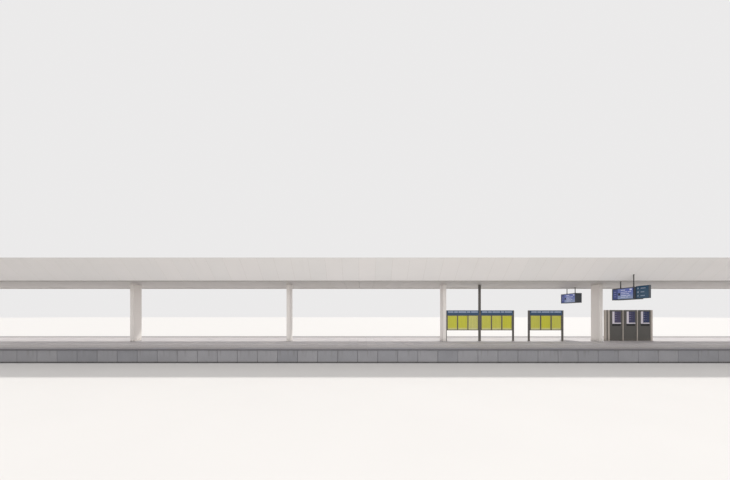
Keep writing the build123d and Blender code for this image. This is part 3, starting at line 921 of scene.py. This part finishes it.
# Hanging rods
def hanging_fittings():
    """A sleeve where each rod enters a display, a flange at the soffit, and a collar at the fascia."""
    fittings = Solids()
    sides, plate, bevel, lap, fascia_collar_level = 20, 0.005, 0.001, 0.02, 2.474
    flange, sleeve = (0.028, 0.026, plate), (rod_radius + 0.006, rod_radius + 0.003, 0.030)
    soffit_flange, collar = (0.032, 0.034, 0.0055), (rod_radius + 0.002, rod_radius + 0.004, 0.034)
    x, middle_y = (display_low.x + display_high.x) / 2, (display_low.y + display_high.y) / 2
    near, far, top = middle_y - rod_pitch / 2, middle_y + rod_pitch / 2, display_high.z
    for side in (-1, 1):
        for y in (near, far):
            fittings.stud(x, side * y, top - mark_sink, *flange, sides)
            fittings.stud(x, side * y, top + 0.004, *sleeve, sides)
        fittings.stud(x, side * near, soffit_level - plate, *soffit_flange, sides)
        fittings.stud(x, side * far, fascia_collar_level, *collar, sides)
    fittings.box(
        (service_low.x - lap, service_low.y - lap, soffit_level - plate),
        (service_high.x + lap, service_high.y + lap, soffit_level), bevel,
    )
    return fittings


# Light and camera
def camera():
    """The photographer's eye, level, looking straight across the track."""
    eye = bpy.data.cameras.new("camera")
    eye.sensor_width = sensor_width
    eye.lens = focal_pixels / photo_width * sensor_width
    eye.shift_x = (photo_width / 2 - vanishing_x) / photo_width
    eye.shift_y = (horizon_y - photo_height / 2) / photo_width
    view = put("camera", eye)
    view.location = eye_place
    view.rotation_euler = (math.radians(90), 0, 0)
    bpy.context.scene.camera = view


def sun(toward_sun, energy, spread, colour):
    """A distant light from a direction, its angular spread in degrees."""
    light = bpy.data.lights.new("sun", "SUN")
    light.energy, light.angle, light.color = energy, math.radians(spread), colour
    put("sun", light).rotation_euler = Vector(toward_sun).to_track_quat("Z", "Y").to_euler()


def soft_box(place, aim, size, power, unlit):
    """A large flat lamp out of the camera's sight, which casts no pool of light on the floor."""
    light = bpy.data.lights.new("soft_box", "AREA")
    light.shape, light.size, light.size_y, light.energy = "RECTANGLE", *size, power
    made = put("soft_box", light)
    made.location = place
    made.rotation_euler = (Vector(aim) - Vector(place)).to_track_quat("-Z", "Y").to_euler()
    made.visible_camera = False
    spared = bpy.data.collections.new("spared")
    spared.objects.link(unlit)
    made.light_linking.receiver_collection = spared
    spared.collection_objects[0].light_linking.link_state = "EXCLUDE"


def sky(colour, strength):
    """A plain sky all round."""
    world = bpy.data.worlds.new("sky")
    world.use_nodes = True
    background = world.node_tree.nodes["Background"]
    background.inputs["Color"].default_value = srgb(*colour)
    background.inputs["Strength"].default_value = strength
    bpy.context.scene.world = world


def floor(reach=200.0):
    """A plain pale floor at the level that the platform stands on."""
    look = Finish("pale_floor", roughness=0.9, specular_ior_level=0.2)
    material = look.done(look.shade((220, 218, 216), look.noise(0.7, 3.0), 0.98, 1.02))
    mesh = bpy.data.meshes.new("floor")
    corners = [(-reach, -reach, 0), (reach, -reach, 0), (reach, reach, 0), (-reach, reach, 0)]
    mesh.from_pydata(corners, [], [(0, 1, 2, 3)])
    mesh.materials.append(material)
    ground = put("floor", mesh)
    return ground


camera()
sky((254, 253, 253), strength=0.84)
sun((0.7, 1.0, 1.22), energy=2.25, spread=2.5, colour=(1.0, 0.98, 0.95))
soft_box((1.4, -14.5, 3.6), aim=(1.4, -2.0, 1.6), size=(10.0, 4.0), power=450.0, unlit=floor())

# Finishes of the model's own nodes
concrete_material = concrete()
panel_material = cladding_finish("coated_panel", (239, 237, 235), (242, 239, 237))
# Painted shade: the end panels are a darker copy of the fascia panels, for the sun on the canopy's ends.
end_material = cladding_finish("end_panel", (213, 211, 209), (219, 216, 214))
roof_material = metal("weathered_zinc", (150, 153, 156), 0.68, 0.25, (1, 0.1, 1))
dark_material = paint("dark_frame_coat", (92, 88, 84), 0.5, dirt=0.4)
machine_material = paint("machine_coat", (88, 86, 82), 0.5, dirt=0.3)
rod_material = paint("dark_rod_coat", (44, 42, 40), 0.5)
machine_glass = glass_finish(
    "machine_screen_glass", (64, 58, 86), (16, 34, 78), 0.1,
    "x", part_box("machine_screens")[0].x + 0.2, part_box("machine_screens")[1].x - 0.1,
)

dress(concrete_material, "edge_wall_front", "edge_wall_rear", "end_wall_left", "end_wall_right")
dress(fill_finish(), "platform_fill")
dress(edge_slab_finish(), "edge_slabs_front", "edge_slabs_rear")
dress(paint("column_paint", (233, 228, 223), 0.42, dirt=0.5), *[f"column_{i + 1}" for i in range(bays)])
# Painted shade: the soffit panels are a darker copy of the fascia panels.
dress(cladding_finish("soffit_panel", (193, 189, 185), (197, 193, 190)), "soffit_panels")
dress(panel_material, "fascia_front", "fascia_rear")
# Painted shade: the capping is a darker copy of the cladding, for the sun on its top.
dress(cladding_finish("capping_trim", (208, 206, 203), (213, 210, 207), joints=True), "capping")
dress(paint("end_joint_shadow", (120, 118, 116), 0.6), "canopy_end_left", "canopy_end_right")
dress(drip_shade_finish(), "drip_edges")
dress(paint("grey_trim", (150, 145, 141), 0.5), "light_housings")
dress(
    paint("grey_primer", (150, 152, 154), 0.6),
    "column_frames", "span_frames", "spine_beam", "cladding_rails",
)
dress(roof_material, "roof_front", "roof_rear", "valley_gutter")
dress(dark_material, "notice_board_1", "notice_board_2", "notice_board_3", "service_post")
dress(paint("blue_header_coat", (46, 76, 108), 0.45), "notice_headers")
dress(sheet_finish("notice_backing", (204, 201, 96), (212, 208, 128), 0.0), "notice_sheets")
dress(machine_material, "ticket_machines")
dress(paint("pale_post_coat", (186, 177, 168), 0.5, dirt=0.4), "machine_posts")
dress(paint("pale_bracket_coat", (222, 216, 226), 0.4), "screen_brackets")
dress(machine_glass, "machine_screens")
dress(paint("display_case_coat", (66, 72, 80), 0.5), "display_a", "display_b", "side_sign")
dress(rod_material, "display_rods")

# Pieces of the canopy
strip_material = paint("joint_strip", (222, 218, 214), 0.6)
galvanised_material = metal("galvanised", (150, 152, 154), 0.5, 0.6)
for side, end in ((-1, "front"), (1, "rear")):
    fascia_joint_strips(side).piece(f"fascia_joint_strips_{end}", strip_material, "cladding")
roof_seams().piece("roof_seams", roof_material, "roofing")
gutter_strainers().piece("gutter_strainers", galvanised_material, "steel")
light_diffusers().piece("light_diffusers", paint("milky_cover", (168, 166, 163), 0.3), "trim")
column_collars().piece("column_collars", galvanised_material, "steel")
foot_plates().piece("foot_plates", dark_material, "dark_frame")

# Pieces of the displays and of the side sign
display_glass = glass_finish(
    "display_glass", (138, 154, 190), (100, 114, 184), 0.12,
    "z", display_low.z + 0.03, display_low.z + 0.24,
)
column_glass = glass_finish("display_column_glass", (50, 64, 124), (62, 76, 138), 0.12)
mark_glass = glass_finish("display_mark_glass", (200, 206, 228), (214, 218, 236), 0.15)
dim_glass = glass_finish("display_dim_mark_glass", (110, 116, 180), (122, 128, 190), 0.1)
dark_glass = glass_finish("display_dark_glass", (26, 32, 56), (32, 38, 66), 0.03)
sign_glass = glass_finish("side_sign_plate", (40, 72, 98), (48, 80, 106), 0.06)
areas, columns, marks, dim_marks, darks = display_parts()
areas.piece("display_lit_areas", display_glass, "screen")
columns.piece("display_lit_columns", column_glass, "screen")
marks.piece("display_marks", mark_glass, "screen")
dim_marks.piece("display_column_marks", dim_glass, "screen")
darks.piece("display_dark_blocks", dark_glass, "display_case")
plates, marks = side_sign_parts()
plates.piece("side_sign_plates", sign_glass, "display_case")
marks.piece("side_sign_marks", paint("sign_mark_coat", (136, 152, 174), 0.4), "post_pale")

# Pieces of the boards, of the machines and of the rods
header_bars().piece("header_bars", paint("header_mark_coat", (164, 178, 202), 0.4), "post_pale")
papers = (
    ("bright", (204, 204, 14), (206, 203, 50), 0.25),
    ("plain", (200, 200, 50), (208, 204, 84), 0.3),
    ("ruled", (206, 203, 92), (214, 210, 126), 0.55),
)
for solids, (paper, first, second, ink_share) in zip(notice_prints(), papers):
    print_material = sheet_finish(f"notice_print_{paper}", first, second, ink_share)
    solids.piece(f"notice_prints_{paper}", print_material, "notice_yellow")
marks, darks = screen_marks()
marks.piece("machine_screen_marks", paint("screen_mark", (122, 118, 158), 0.3), "screen")
darks.piece("machine_screen_blocks", paint("screen_block", (52, 50, 92), 0.3), "screen")
doors, fittings = machine_doors()
doors.piece("machine_rear_doors", machine_material, "machine_dark")
fittings.piece("machine_rear_fittings", dark_material, "dark_frame")
hanging_fittings().piece("hanging_fittings", rod_material, "dark_frame")
# Painted shade: the tray liners are near black, for the shadow under the screen bracket's foot.
tray_liners().piece("tray_liners", paint("black_tray", (14, 14, 16), 0.35), "machine_dark")

# Pieces that replace nodes, and the studs
for side, end in ((-1, "left"), (1, "right")):
    canopy_end_panels(side).piece(f"canopy_end_panels_{end}", end_material, "cladding")
    end_wall_units(side).piece(f"end_wall_units_{end}", concrete_material, "concrete", f"end_wall_{end}")
paving_tiles().piece("paving_tiles", paving_finish(), "paving", "main_paving")
stud_material = stud_finish()
for side, end in ((-1, "front"), (1, "rear")):
    tactile_studs(side).piece(f"tactile_studs_{end}", stud_material, "coping")

bpy.context.scene.view_settings.view_transform = "Standard"

bpy.context.view_layer.update()
